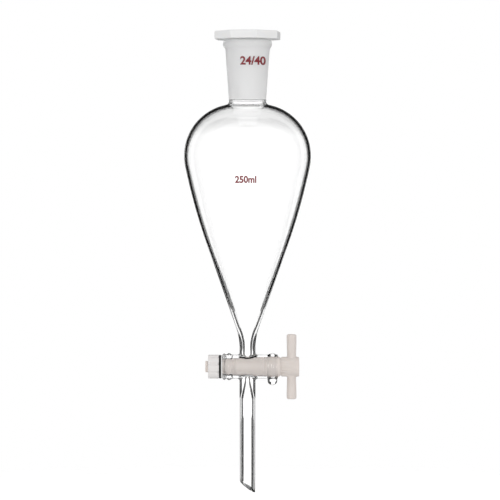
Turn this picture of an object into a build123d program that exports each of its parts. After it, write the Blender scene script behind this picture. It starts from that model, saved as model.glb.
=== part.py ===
from build123d import *
from math import cos, pi, radians, sin, sqrt, tan
import os

# Dropping funnel: a pear-shaped glass bulb with a ground socket and stopper above, and a
# PTFE stopcock and a plain stem below. Millimetres, +Z up. The origin is on the funnel's
# axis, at the level where a support ring touches the bulb. The stopcock lies along X, with
# its handle on the +X side. Heights in the first two groups are measured down from the rim.

# Ground socket, a 24/40 joint
joint_radius = 12.0  # bore at the rim
joint_length = 40.0
joint_slope = 0.05  # radius lost for each mm of depth, a taper of 1 in 10
rim_radius = 15.8
rim_height = 5.4
neck_top_radius = 14.3  # outside, just under the rim
neck_root_radius = 11.85  # outside, where the neck is sealed to the bulb
rim_round = 0.5

# Bulb
glass_wall = 2.0
belly_radius = 40.9
shoulder_centre = 7.4  # of the shoulder's arc, from the axis
belly_arc_radius = 36.8
belly_arc_angle = 12.0  # degrees below the widest line, where the belly's arc ends
flank_radius = 400.0  # the flank's slow curve, which ends at the cone's slope
cone_angle = 20.2  # between the cone's side and the axis
drain_flare_radius = 40.0
shoulder_drop = 1.5  # from the end of the joint to the corner of neck and shoulder
neck_fillet = 1.6
throat_fillet = 1.8
ring_bore_radius = 32.0  # the support ring that the funnel hangs in

# Stopcock barrel and its two arms
arm_radius = 5.1
drain_bore_radius = 2.15
upper_arm_length = 12.0  # from the seal with the bulb to the barrel's axis
lower_arm_length = 20.3
seal_taper = 0.6  # length over which the lower arm narrows to the stem
outlet_bore_radius = 1.25
outlet_bore_end = 9.3  # below the barrel's axis, where the outlet starts to widen
barrel_radius = 7.7
barrel_small_end = 16.2  # from the funnel's axis to the washer's face
barrel_large_end = 19.5
lip_radius = 8.8
lip_length = 2.2
end_bead_radius = 9.0
end_bead_length = 3.2
end_bead_offset = 11.9  # middle of the bead, from the funnel's axis
mouth_bead_radius = 9.5
mouth_bead_length = 6.9
foot_radius = 3.2
foot_reach = 11.9  # from the barrel's axis to the lowest point of the foot
arm_fillet = 1.5
bead_fillet = 0.7

# Drip stem
stem_radius = 4.9
stem_bore_radius = 3.2
stem_length = 61.2  # from the seal to the lowest point of the tip
tip_angle = 39.0  # slant of the tip, from level
tip_turn = 25.0  # the lowest point is this far round from +X, towards +Y
tip_round = 0.3

# Stopper
stopper_clearance = 0.05
head_across_corners = 44.2
head_thickness = 5.2
head_gap = 0.4  # between the rim and the underside of the head
head_turn = 15.2  # of a corner, from the front towards +X
head_corner_round = 1.5
head_edge = 0.8
stopper_depth = 36.0  # below the rim
stopper_wall = 1.8
stopper_top_wall = 2.4

# Stopcock plug
plug_radius = 5.9  # where it crosses the funnel's axis
plug_slope = 0.05  # radius gained for each mm towards the handle, a taper of 1 in 10
plug_clearance = 0.05
plug_bore_radius = 1.0
plug_relief = 0.6  # how far the plug's small end stays inside the barrel's
ring_groove_width = 0.9
ring_groove_depth = 0.15
ring_groove_offsets = (-9.1, 12.2)
neck_groove_radius = 5.6
neck_groove_end = 21.4
hub_radius = 6.35
hub_length = 11.9
hub_edge = 0.8
handle_radius = 2.85
handle_end_radius = 3.15
handle_length = 41.9
handle_offset = 28.4  # from the funnel's axis
handle_end_round = 1.2
handle_fillet = 0.8

# Threaded end, washer, O-ring and nut
thread_radius = 3.8
thread_end_round = 0.5
thread_clearance = 0.05
washer_radius = 7.5
washer_thickness = 0.85
o_ring_radius = 7.6
o_ring_wire_radius = 0.65
o_ring_clearance = 0.05
nut_radius = 7.7
nut_length = 7.1
nut_edge = 0.5
nut_flutes = 8
nut_flute_radius = 0.8
nut_flute_turn = 15.5  # of the first flute, above the front
stub_length = 1.8  # of thread showing past the nut

# Heights from the rim, all below it
joint_root_radius = joint_radius - joint_slope * joint_length
shoulder_radius = belly_radius - shoulder_centre
shoulder_rise = sqrt(shoulder_radius**2 - (neck_root_radius - shoulder_centre) ** 2)
widest_level = -joint_length - shoulder_drop - shoulder_rise
BELLY = radians(belly_arc_angle)
CONE = radians(cone_angle)


def meridian_points(inset, drain_radius):
    """The bulb's corner points in radius and height, for a surface this far inside the glass."""
    belly_centre = Vector(belly_radius - belly_arc_radius, widest_level)
    belly_way = Vector(cos(BELLY), -sin(BELLY))
    flank_way = Vector(cos(CONE), -sin(CONE))
    flank_centre = belly_centre + belly_way * (belly_arc_radius - flank_radius)
    middle = (BELLY + CONE) / 2
    belly_end = belly_centre + belly_way * (belly_arc_radius - inset)
    flank_middle = flank_centre + Vector(cos(middle), -sin(middle)) * (flank_radius - inset)
    flank_end = flank_centre + flank_way * (flank_radius - inset)
    flare_start_radius = drain_radius + drain_flare_radius * (1 - cos(CONE))
    cone_drop = (flank_end.X - flare_start_radius) / tan(CONE)
    flare_start = Vector(flare_start_radius, flank_end.Y - cone_drop)
    flare_end = Vector(drain_radius, flare_start.Y - drain_flare_radius * sin(CONE))
    return belly_end, flank_middle, flank_end, flare_start, flare_end


def ring_seat_level():
    """Height at which the bulb's flank is as wide as the support ring."""
    middle_radius = belly_radius - belly_arc_radius + (belly_arc_radius - flank_radius) * cos(BELLY)
    middle_level = widest_level - (belly_arc_radius - flank_radius) * sin(BELLY)
    return middle_level - sqrt(flank_radius**2 - (ring_bore_radius - middle_radius) ** 2)


seat = ring_seat_level()
bulb_end = meridian_points(glass_wall, drain_bore_radius)[4].Y
barrel_level = bulb_end - upper_arm_length - seat
stem_seal_level = barrel_level - lower_arm_length
rim_level = -seat
tip_level = stem_seal_level - stem_length


def at_rim(solid):
    """Moves a solid drawn with the rim at zero to its place above the ring seat."""
    return Pos(0, 0, rim_level) * solid


def along_barrel(solid):
    """Turns a solid drawn round +Z to lie along +X on the barrel's axis."""
    return Pos(0, 0, barrel_level) * Rot(0, 90, 0) * solid


def rod(radius, length):
    """A cylinder that stands on the XY plane."""
    return Cylinder(radius, length, align=(Align.CENTER, Align.CENTER, Align.MIN))


def joint_edges(body, offset, across_radius, upright_radius):
    """The edges where an upright rod meets the cylinder that it crosses, above and below."""

    def at_joint(edge):
        box = edge.bounding_box()
        height = abs(box.center().Z - barrel_level)
        near = across_radius - upright_radius < height < across_radius + upright_radius
        narrow = upright_radius < box.size.X < 2.2 * upright_radius
        return near and narrow and box.size.Z > 0.1 and abs(box.center().X - offset) < upright_radius

    return body.edges().filter_by(at_joint)


def turned(corners, rounds=()):
    """A solid of revolution about Z from (radius, height) corners, some of them rounded."""
    face = make_face(Polyline(*corners, close=True))
    for (r, z), size in rounds:
        corner = face.vertices().sort_by_distance(Vector(r, z, 0))[0]
        face = fillet(corner, size)
    return revolve(Plane.XZ * face, Axis.Z)


def bored_radius(offset, clearance=0.0):
    """Radius of the plug's taper at this distance from the funnel's axis, towards +X."""
    return plug_radius + plug_slope * offset + clearance


# --- Glass -----------------------------------------------------------------------------


def ground_joint_socket():
    """Tapered socket with a rolled rim."""
    rim_top_radius = rim_radius - 1.0
    outline = Curve() + [
        Line((joint_radius, 0), (rim_top_radius, 0)),
        ThreePointArc((rim_top_radius, 0), (rim_radius, -rim_height / 2), (neck_top_radius, -rim_height)),
        Line((neck_top_radius, -rim_height), (neck_root_radius, -joint_length)),
        Line((neck_root_radius, -joint_length), (joint_root_radius, -joint_length)),
        Line((joint_root_radius, -joint_length), (joint_radius, 0)),
    ]
    face = make_face(outline)
    for corner, size in (
        ((joint_radius, 0), rim_round),
        ((rim_top_radius, 0), rim_round),
        ((neck_top_radius, -rim_height), 2 * rim_round),
    ):
        face = fillet(face.vertices().sort_by_distance(Vector(*corner, 0))[0], size)
    return at_rim(revolve(Plane.XZ * face, Axis.Z))


def pear_bulb():
    """Blown bulb: an arched shoulder, a slow flank, a cone and a flared drain."""
    outer = meridian_points(0, arm_radius)
    inner = meridian_points(glass_wall, drain_bore_radius)
    inner_arch = shoulder_radius - glass_wall
    outer_top = widest_level + shoulder_rise
    inner_top = widest_level + sqrt(inner_arch**2 - (joint_root_radius - shoulder_centre) ** 2)

    def arch_middle(radius, top_radius):
        half = (pi / 2 - (top_radius - shoulder_centre) / radius) / 2
        return shoulder_centre + radius * cos(half), widest_level + radius * sin(half)

    def belly_middle(inset):
        size = belly_arc_radius - inset
        middle = belly_radius - belly_arc_radius + size * cos(BELLY / 2)
        return middle, widest_level - size * sin(BELLY / 2)

    def flare_middle(points, drain_radius):
        across = drain_radius + drain_flare_radius * (1 - cos(CONE / 2))
        return across, points[4].Y + drain_flare_radius * sin(CONE / 2)

    outline = Curve() + [
        Line((joint_root_radius, -joint_length), (neck_root_radius, -joint_length)),
        Line((neck_root_radius, -joint_length), (neck_root_radius, outer_top)),
        ThreePointArc(
            (neck_root_radius, outer_top),
            arch_middle(shoulder_radius, neck_root_radius),
            (belly_radius, widest_level),
        ),
        ThreePointArc((belly_radius, widest_level), belly_middle(0), outer[0]),
        ThreePointArc(outer[0], outer[1], outer[2]),
        Line(outer[2], outer[3]),
        ThreePointArc(outer[3], flare_middle(outer, arm_radius), outer[4]),
        Line(outer[4], (arm_radius, bulb_end)),
        Line((arm_radius, bulb_end), inner[4]),
        ThreePointArc(inner[4], flare_middle(inner, drain_bore_radius), inner[3]),
        Line(inner[3], inner[2]),
        ThreePointArc(inner[2], inner[1], inner[0]),
        ThreePointArc(inner[0], belly_middle(glass_wall), (belly_radius - glass_wall, widest_level)),
        ThreePointArc(
            (belly_radius - glass_wall, widest_level),
            arch_middle(inner_arch, joint_root_radius),
            (joint_root_radius, inner_top),
        ),
        Line((joint_root_radius, inner_top), (joint_root_radius, -joint_length)),
    ]
    face = make_face(outline)
    for corner, size in (
        ((neck_root_radius, outer_top), neck_fillet),
        ((joint_root_radius, inner_top), throat_fillet),
    ):
        face = fillet(face.vertices().sort_by_distance(Vector(*corner, 0))[0], size)
    return at_rim(revolve(Plane.XZ * face, Axis.Z))


def bead(radius, length, middle):
    """A rounded band round the barrel, with its middle at this distance along the axis."""
    half = length / 2
    root = barrel_radius - 0.5
    profile = make_face(
        Curve()
        + [
            Line((root, middle - half), (barrel_radius, middle - half)),
            ThreePointArc((barrel_radius, middle - half), (radius, middle), (barrel_radius, middle + half)),
            Line((barrel_radius, middle + half), (root, middle + half)),
            Line((root, middle + half), (root, middle - half)),
        ]
    )
    return revolve(Plane.XZ * profile, Axis.Z)


def stopcock_barrel():
    """Tapered barrel across the drain, with its arms, beads and the foot under its mouth."""
    tube = turned(
        [
            (0, -barrel_small_end),
            (barrel_radius, -barrel_small_end),
            (barrel_radius, barrel_large_end),
            (0, barrel_large_end),
        ],
        [((barrel_radius, barrel_large_end), bead_fillet)],
    )
    body = tube + bead(lip_radius, lip_length, lip_length / 2 - barrel_small_end)
    body += bead(end_bead_radius, end_bead_length, -end_bead_offset)
    body += bead(mouth_bead_radius, mouth_bead_length, barrel_large_end - mouth_bead_length / 2)
    body = along_barrel(body)
    body += Pos(0, 0, barrel_level) * rod(arm_radius, upper_arm_length)
    lower_arm = turned(
        [
            (0, 0),
            (stem_radius, 0),
            (arm_radius, seal_taper),
            (arm_radius, lower_arm_length),
            (0, lower_arm_length),
        ]
    )
    body += Pos(0, 0, stem_seal_level) * lower_arm
    roots = joint_edges(body, 0, barrel_radius, arm_radius)
    body = fillet(roots, arm_fillet)
    foot_centre = barrel_large_end - mouth_bead_length / 2
    body += Pos(foot_centre, 0, barrel_level - foot_reach + foot_radius) * Sphere(foot_radius)
    bore = turned(
        [
            (0, -barrel_small_end),
            (bored_radius(-barrel_small_end), -barrel_small_end),
            (bored_radius(barrel_large_end), barrel_large_end),
            (0, barrel_large_end),
        ]
    )
    body -= along_barrel(bore)
    body -= Pos(0, 0, barrel_level) * rod(drain_bore_radius, upper_arm_length)
    outlet = turned(
        [
            (0, 0),
            (outlet_bore_radius, 0),
            (outlet_bore_radius, -outlet_bore_end),
            (stem_bore_radius, -lower_arm_length),
            (0, -lower_arm_length),
        ]
    )
    return body - Pos(0, 0, barrel_level) * outlet


def drip_stem():
    """Plain tube with a slanted tip."""
    tube = rod(stem_radius, stem_length) - rod(stem_bore_radius, stem_length)
    slant = radians(tip_angle)
    slope = Plane(
        origin=(0, 0, stem_radius * tan(slant)),
        x_dir=(0, 1, 0),
        z_dir=(sin(slant), 0, cos(slant)),
    )
    tube = split(tube, bisect_by=slope, keep=Keep.TOP)
    tube = fillet(tube.edges().filter_by(GeomType.ELLIPSE), tip_round)
    return Pos(0, 0, tip_level) * Rot(0, 0, tip_turn) * tube


# --- Stopper ---------------------------------------------------------------------------


def stopper():
    """Moulded stopper: an octagonal head on a hollow tapered plug, open below."""
    head = extrude(RegularPolygon(head_across_corners / 2, 8), head_thickness)
    head = fillet(head.edges().filter_by(Axis.Z), head_corner_round)
    head = chamfer(head.edges().group_by(Axis.Z)[-1], head_edge)
    head = Pos(0, 0, head_gap) * Rot(0, 0, head_turn - 90) * head

    def taper(height):
        return joint_radius + joint_slope * height - stopper_clearance

    outside = turned(
        [
            (0, head_gap),
            (taper(head_gap), head_gap),
            (taper(-stopper_depth), -stopper_depth),
            (0, -stopper_depth),
        ],
        [((taper(-stopper_depth), -stopper_depth), stopper_wall / 2)],
    )
    hollow_top = head_gap + head_thickness - stopper_top_wall
    hollow = turned(
        [
            (0, hollow_top),
            (taper(hollow_top) - stopper_wall, hollow_top),
            (taper(-stopper_depth) - stopper_wall, -stopper_depth),
            (0, -stopper_depth),
        ],
        [((taper(hollow_top) - stopper_wall, hollow_top), stopper_wall)],
    )
    return at_rim(head + outside - hollow)


# --- Stopcock plug and what holds it in -------------------------------------------------

washer_face = -barrel_small_end - washer_thickness
nut_face = washer_face - 2 * o_ring_wire_radius
nut_end = nut_face - nut_length
thread_end = nut_end - stub_length


def stopcock_plug():
    """Tapered plug with its cross bore, sealing grooves, T-handle and threaded end."""
    body_start = plug_relief - barrel_small_end
    taper_end_radius = bored_radius(barrel_large_end, -plug_clearance)
    hub_end = neck_groove_end + hub_length
    body = turned(
        [
            (0, thread_end),
            (thread_radius, thread_end),
            (thread_radius, body_start),
            (bored_radius(body_start, -plug_clearance), body_start),
            (taper_end_radius, barrel_large_end),
            (neck_groove_radius, neck_groove_end),
            (hub_radius, neck_groove_end + hub_edge),
            (hub_radius, hub_end),
            (0, hub_end),
        ],
        [((thread_radius, thread_end), thread_end_round), ((hub_radius, hub_end), hub_edge)],
    )
    for offset in ring_groove_offsets:
        outer = bored_radius(offset)
        ring = Cylinder(outer + 1, ring_groove_width) - Cylinder(
            outer - plug_clearance - ring_groove_depth, ring_groove_width
        )
        body -= Pos(0, 0, offset) * ring
    body = along_barrel(body)
    body += handle_bar()
    joins = joint_edges(body, handle_offset, hub_radius, handle_radius)
    body = fillet(joins, handle_fillet)
    return body - Pos(0, 0, barrel_level) * Cylinder(plug_bore_radius, 4 * plug_radius)


def handle_bar():
    """The bar of the T, waisted at the hub and rounded at its ends."""
    half = handle_length / 2
    bar = turned(
        [
            (0, -half),
            (handle_end_radius, -half),
            (handle_end_radius, -half * 0.8),
            (handle_radius, -hub_radius),
            (handle_radius, hub_radius),
            (handle_end_radius, half * 0.8),
            (handle_end_radius, half),
            (0, half),
        ],
        [
            ((handle_end_radius, -half), handle_end_round),
            ((handle_end_radius, half), handle_end_round),
        ],
    )
    return Pos(handle_offset, 0, barrel_level) * bar


def plug_washer():
    """Flat washer on the plug's threaded end, against the barrel's small end."""
    ring = Cylinder(washer_radius, washer_thickness) - Cylinder(
        thread_radius + thread_clearance, washer_thickness
    )
    return along_barrel(Pos(0, 0, (washer_face - barrel_small_end) / 2) * ring)


def o_ring():
    """Rubber ring, squeezed into a flat-sided band by the nut."""
    inner = thread_radius + o_ring_clearance
    half = o_ring_wire_radius
    middle = washer_face - half
    band = turned(
        [
            (inner, middle - half),
            (o_ring_radius, middle - half),
            (o_ring_radius, middle + half),
            (inner, middle + half),
        ],
        [
            ((o_ring_radius, middle - half), half * 0.7),
            ((o_ring_radius, middle + half), half * 0.7),
        ],
    )
    return along_barrel(band)


def tension_nut():
    """Fluted nut on the plug's threaded end."""
    blank = turned(
        [
            (thread_radius + thread_clearance, nut_end),
            (nut_radius, nut_end),
            (nut_radius, nut_face),
            (thread_radius + thread_clearance, nut_face),
        ],
        [((nut_radius, nut_end), nut_edge), ((nut_radius, nut_face), nut_edge)],
    )
    flute = Pos(nut_radius, 0, (nut_end + nut_face) / 2) * Cylinder(nut_flute_radius, nut_length)
    first = -90 - nut_flute_turn  # in the turned drawing the front lies at -90
    flutes = [Rot(0, 0, first + 360 * n / nut_flutes) * flute for n in range(nut_flutes)]
    return along_barrel(blank - flutes)


nodes = {
    "ground_joint_socket": ground_joint_socket,
    "pear_bulb": pear_bulb,
    "stopcock_barrel": stopcock_barrel,
    "drip_stem": drip_stem,
    "stopper": stopper,
    "stopcock_plug": stopcock_plug,
    "plug_washer": plug_washer,
    "o_ring": o_ring,
    "tension_nut": tension_nut,
}

os.makedirs("parts", exist_ok=True)
for name, make in nodes.items():
    export_step(make(), f"parts/{name}.step")

print(f"rim {rim_level:.3f}, barrel axis {barrel_level:.3f}, stem seal {stem_seal_level:.3f}")
print(f"stem tip {tip_level:.3f}, widest line {widest_level + rim_level:.3f}")
print(f"nut from {nut_end:.2f} to {nut_face:.2f}, thread end {thread_end:.2f}")
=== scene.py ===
from math import atan2, cos, pi, radians, sin, sqrt, tan

import bmesh
import bpy
from mathutils import Matrix, Vector

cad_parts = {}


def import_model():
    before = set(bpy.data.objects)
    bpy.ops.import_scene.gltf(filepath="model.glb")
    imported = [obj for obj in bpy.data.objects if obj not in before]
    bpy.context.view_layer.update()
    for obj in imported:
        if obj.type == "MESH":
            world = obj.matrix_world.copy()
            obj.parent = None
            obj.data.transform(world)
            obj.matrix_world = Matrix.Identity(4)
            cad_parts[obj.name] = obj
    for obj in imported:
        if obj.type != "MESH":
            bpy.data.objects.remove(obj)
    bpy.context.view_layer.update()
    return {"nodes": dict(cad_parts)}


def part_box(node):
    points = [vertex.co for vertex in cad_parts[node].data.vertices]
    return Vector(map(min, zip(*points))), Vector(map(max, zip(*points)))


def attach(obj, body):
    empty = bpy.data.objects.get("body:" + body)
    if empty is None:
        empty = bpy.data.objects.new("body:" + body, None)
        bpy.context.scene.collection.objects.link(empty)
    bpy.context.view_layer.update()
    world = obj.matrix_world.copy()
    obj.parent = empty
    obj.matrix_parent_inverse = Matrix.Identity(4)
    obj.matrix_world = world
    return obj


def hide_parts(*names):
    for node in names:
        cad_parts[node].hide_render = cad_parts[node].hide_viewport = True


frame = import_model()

MM = 0.001

# ---------------------------------------------------------------------------------------
# Levels and sizes, in millimetres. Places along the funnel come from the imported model.
# ---------------------------------------------------------------------------------------


def level(node, end):
    """Lowest (end 0) or highest (end 1) point of a node, in millimetres."""
    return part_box(node)[end].z / MM


RIM = level("ground_joint_socket", 1)
JOINT_END = level("ground_joint_socket", 0)
DRAIN_SEAL = level("pear_bulb", 0)
STEM_SEAL = level("stopcock_barrel", 0)
TIP = level("drip_stem", 0)
AXIS = (level("stopcock_plug", 0) + level("stopcock_plug", 1)) / 2
SMALL_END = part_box("stopcock_barrel")[0].x / MM
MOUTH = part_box("stopcock_barrel")[1].x / MM

GLASS_SIDES = 144
WALL = 1.6
CONE_WALL = 1.35
DRAIN_START = -66.0
JOINT_RADIUS = 12.0
JOINT_SLOPE = 0.05
RIM_RADIUS = 15.8
RIM_HEIGHT = 5.4
NECK_TOP = 14.3
NECK_ROOT = 11.85
NECK_DROP = 1.5
NECK_FILLET = 2.6
THROAT_FILLET = 2.2
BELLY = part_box("pear_bulb")[1].x / MM
SHOULDER_CENTRE = 7.4
BELLY_ARC = 36.8
BELLY_END = radians(12.0)
FLANK_ARC = 400.0
CONE = radians(20.2)
FLARE_ARC = 40.0
ARM = 5.1
DRAIN_BORE = 2.15
ARM_FLARE = 1.5
BARREL = 7.7
PLUG_RADIUS = 5.9
PLUG_SLOPE = 0.05
STEM = 4.9
STEM_LENGTH = 61.0
STEM_BORE = 3.2
OUTLET_BORE = 1.25
OUTLET_END = 9.3
TIP_ANGLE = radians(39.0)
TIP_TURN = radians(25.0)

SHOULDER_ARC = BELLY - SHOULDER_CENTRE
SHOULDER_RISE = sqrt(SHOULDER_ARC**2 - (NECK_ROOT - SHOULDER_CENTRE) ** 2)
WIDEST = JOINT_END - NECK_DROP - SHOULDER_RISE
BELLY_X = BELLY - BELLY_ARC
FLANK_X = BELLY_X + (BELLY_ARC - FLANK_ARC) * cos(BELLY_END)
FLANK_Z = WIDEST - (BELLY_ARC - FLANK_ARC) * sin(BELLY_END)
NECK_SLOPE = (NECK_TOP - NECK_ROOT) / (RIM - RIM_HEIGHT - 0.6 - JOINT_END)


# ---------------------------------------------------------------------------------------
# Modelling helpers
# ---------------------------------------------------------------------------------------


def arc(centre, radius, start, end, steps):
    """Points round an arc, from one angle to another, in radians."""
    points = []
    for n in range(steps + 1):
        angle = start + (end - start) * n / steps
        points.append((centre[0] + radius * cos(angle), centre[1] + radius * sin(angle)))
    return points


def bow(start, middle, end, steps):
    """Points of the arc through three points."""
    (ax, ay), (bx, by), (cx, cy) = start, middle, end
    turn = 2 * (ax * (by - cy) + bx * (cy - ay) + cx * (ay - by))
    a, b, c = ax**2 + ay**2, bx**2 + by**2, cx**2 + cy**2
    x = (a * (by - cy) + b * (cy - ay) + c * (ay - by)) / turn
    y = (a * (cx - bx) + b * (ax - cx) + c * (bx - ax)) / turn
    first = atan2(ay - y, ax - x)
    last = atan2(cy - y, cx - x)
    return arc((x, y), sqrt((ax - x) ** 2 + (ay - y) ** 2), first, last, steps)


def pick_out(piece):
    """Selects one piece alone and makes it the active one."""
    bpy.ops.object.select_all(action="DESELECT")
    piece.select_set(True)
    bpy.context.view_layer.objects.active = piece


def edit(piece):
    """Selects one piece alone and opens it for editing."""
    pick_out(piece)
    bpy.ops.object.mode_set(mode="EDIT")


def close_edit():
    bpy.ops.object.mode_set(mode="OBJECT")


def pick(piece, kind, test):
    """Selects the points, edges or faces of a piece that pass a test, in edit mode; returns how many."""
    bpy.ops.mesh.select_all(action="DESELECT")
    bpy.ops.mesh.select_mode(type={"verts": "VERT", "edges": "EDGE", "faces": "FACE"}[kind])
    mesh = bmesh.from_edit_mesh(piece.data)
    found = [item for item in getattr(mesh, kind) if test(item)]
    for item in found:
        item.select_set(True)
    mesh.select_flush_mode()
    bmesh.update_edit_mesh(piece.data)
    return len(found)


def tidy_faces():
    """Merges doubled points and turns every face outwards, in edit mode."""
    bpy.ops.mesh.select_all(action="SELECT")
    bpy.ops.mesh.remove_doubles(threshold=0.001 * MM)
    bpy.ops.mesh.normals_make_consistent(inside=False)


def smooth(piece, angle=30):
    """Soft shading, with the edges sharper than this angle kept crisp."""
    pick_out(piece)
    bpy.ops.object.shade_smooth_by_angle(angle=radians(angle))


def drape(piece, lift, side):
    """Lays the selected ring this far off the barrel's surface; side is 1 above and -1 below."""
    mesh = bmesh.from_edit_mesh(piece.data)
    for point in mesh.verts:
        if point.select:
            across = point.co.y / MM
            point.co.z = (AXIS + side * (sqrt(BARREL**2 - across**2) + lift)) * MM
    bmesh.update_edit_mesh(piece.data)


def flatten(piece, height):
    """Brings the selected ring to one height."""
    mesh = bmesh.from_edit_mesh(piece.data)
    for point in mesh.verts:
        if point.select:
            point.co.z = height * MM
    bmesh.update_edit_mesh(piece.data)


def turned(name, rings, sides=GLASS_SIDES, side=1):
    """Draws a circle out ring by ring about Z. A ring is (radius, height), or (radius, lift, "draped")."""
    radius, height = rings[0][:2]
    bpy.ops.object.select_all(action="DESELECT")
    bpy.ops.mesh.primitive_circle_add(vertices=sides, radius=radius * MM, location=(0, 0, height * MM))
    piece = bpy.context.object
    piece.name = name
    bpy.ops.object.transform_apply(location=True, rotation=False, scale=False)
    edit(piece)
    bpy.ops.mesh.select_mode(type="VERT")
    bpy.ops.mesh.select_all(action="SELECT")
    for ring in rings[1:]:
        draped = len(ring) == 3
        rise = 0 if draped or height is None else ring[1] - height
        bpy.ops.mesh.extrude_edges_move(TRANSFORM_OT_translate={"value": (0, 0, rise * MM)})
        size = ring[0] / radius
        bpy.ops.transform.resize(value=(size, size, 1), center_override=(0, 0, 0))
        if draped:
            drape(piece, ring[1], side)
        elif height is None:
            flatten(piece, ring[1])
        radius = ring[0]
        height = None if draped else ring[1]
    tidy_faces()
    close_edit()
    return piece


def lay_along_barrel(piece):
    """Turns a piece that was turned about Z so that it lies on the barrel's axis."""
    pick_out(piece)
    piece.matrix_world = Matrix.Translation((0, 0, AXIS * MM)) @ Matrix.Rotation(pi / 2, 4, "Y")
    bpy.ops.object.transform_apply(location=True, rotation=True, scale=False)
    return piece


def combine(piece, other, operation):
    """Joins another closed piece to this one, or cuts it away, and removes the other."""
    step = piece.modifiers.new(operation.lower(), "BOOLEAN")
    step.operation = operation
    step.object = other
    step.solver = "EXACT"
    pick_out(piece)
    bpy.ops.object.modifier_apply(modifier=step.name)
    bpy.data.objects.remove(other)
    return piece


def join(pieces, name):
    """Makes one piece of several, which share one mesh."""
    bpy.ops.object.select_all(action="DESELECT")
    for piece in pieces:
        piece.select_set(True)
    bpy.context.view_layer.objects.active = pieces[0]
    bpy.ops.object.join()
    pieces[0].name = name
    return pieces[0]


# ---------------------------------------------------------------------------------------
# Glass: socket, bulb, stopcock barrel and drip stem, sealed into one
# ---------------------------------------------------------------------------------------

GROUND_END = JOINT_END + 1.5
NIL = 0.0002  # the radius that a pole starts from, before its points are merged


def shoulder(line, inset, fillet_size, steps):
    """The neck's line, its fillet and the shoulder's arch, downwards."""
    size = SHOULDER_ARC - inset
    centre_x = line + fillet_size
    rise = sqrt((size + fillet_size) ** 2 - (centre_x - SHOULDER_CENTRE) ** 2)
    lean = atan2(rise, centre_x - SHOULDER_CENTRE)
    hollow = arc((centre_x, WIDEST + rise), fillet_size, pi, pi + lean, 10)
    arch = arc((SHOULDER_CENTRE, WIDEST), size, lean, 0, steps)
    return hollow + arch[1:]


def side_of_bulb():
    """Belly, flank, cone and drain, downwards from below the widest line."""
    belly = arc((BELLY_X, WIDEST), BELLY_ARC, 0, -BELLY_END, 8)
    flank = arc((FLANK_X, FLANK_Z), FLANK_ARC, -BELLY_END, -CONE, 10)
    flare = arc((ARM + FLARE_ARC, DRAIN_SEAL), FLARE_ARC, pi - CONE, pi, 18)
    return belly[1:] + flank[1:] + flare


def smoothly(start, end, value):
    """How far a value has gone from start to end, from 0 to 1, with soft ends."""
    part = min(1.0, max(0.0, (value - start) / (end - start)))
    return part * part * (3 - 2 * part)


def inside_of_bulb(outside):
    """The inner line: the wall thins down the cone and grows again into the drain."""
    inside = []
    for n, (radius, height) in enumerate(outside):
        before = Vector(outside[max(n - 1, 0)])
        along = (Vector(outside[min(n + 1, len(outside) - 1)]) - before).normalized()
        thick = WALL + (CONE_WALL - WALL) * smoothly(WIDEST, -45, height)
        part = smoothly(DRAIN_START, DRAIN_SEAL, height)
        wide = (radius + along.y * thick) * (1 - part) + DRAIN_BORE * part
        inside.append((wide, height - along.x * thick * (1 - part)))
    return inside


def bulb_and_socket():
    """Open at the drain's seal, where the barrel's upper arm joins it."""
    bore_root = JOINT_RADIUS - JOINT_SLOPE * (RIM - JOINT_END)
    outside = bow((15.15, RIM - 0.35), (RIM_RADIUS, RIM - RIM_HEIGHT / 2), (14.75, RIM - RIM_HEIGHT + 0.3), 12)
    lip = [(JOINT_RADIUS, RIM - 0.5), (JOINT_RADIUS + 0.15, RIM - 0.15), (JOINT_RADIUS + 0.5, RIM)]
    crown = [(14.4, RIM), (14.85, RIM - 0.1)]
    under = [(14.45, RIM - RIM_HEIGHT - 0.1), (NECK_TOP, RIM - RIM_HEIGHT - 0.6)]
    waist = [(NECK_ROOT + NECK_SLOPE * (GROUND_END - JOINT_END), GROUND_END)]
    waist += [(waist[0][0] + 0.14, GROUND_END - 0.2), (waist[0][0] + 0.2, GROUND_END - 0.4)]
    waist += [(waist[0][0] + 0.1, GROUND_END - 0.62)]
    outer = lip + crown + outside + under + waist + shoulder(NECK_ROOT, 0, NECK_FILLET, 30)
    outer += side_of_bulb()
    inner = shoulder(bore_root, WALL, THROAT_FILLET, 30) + inside_of_bulb(side_of_bulb())
    bore = [(bore_root + JOINT_SLOPE * (GROUND_END - JOINT_END), GROUND_END), (JOINT_RADIUS, RIM - 0.5)]
    upwards = list(reversed(inner)) + bore
    return turned("bulb", upwards + outer[1:])


def arm(name, end_radius, end_height, side):
    """An arm of the crossing, closed, with its flare laid on the barrel; it ends on the axis."""
    rings = [(NIL, end_height), (end_radius, end_height)]
    if end_radius < ARM:
        rings.append((ARM, end_height + 0.6))
    for n in range(9):
        turn = n / 8 * pi / 2
        rings.append((ARM + ARM_FLARE * (1 - cos(turn)), ARM_FLARE * (1 - sin(turn)), "draped"))
    rings += [(ARM + ARM_FLARE + 0.1, -0.2, "draped"), (ARM - 1, AXIS), (NIL, AXIS)]
    return turned(name, rings, side=side)


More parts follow.
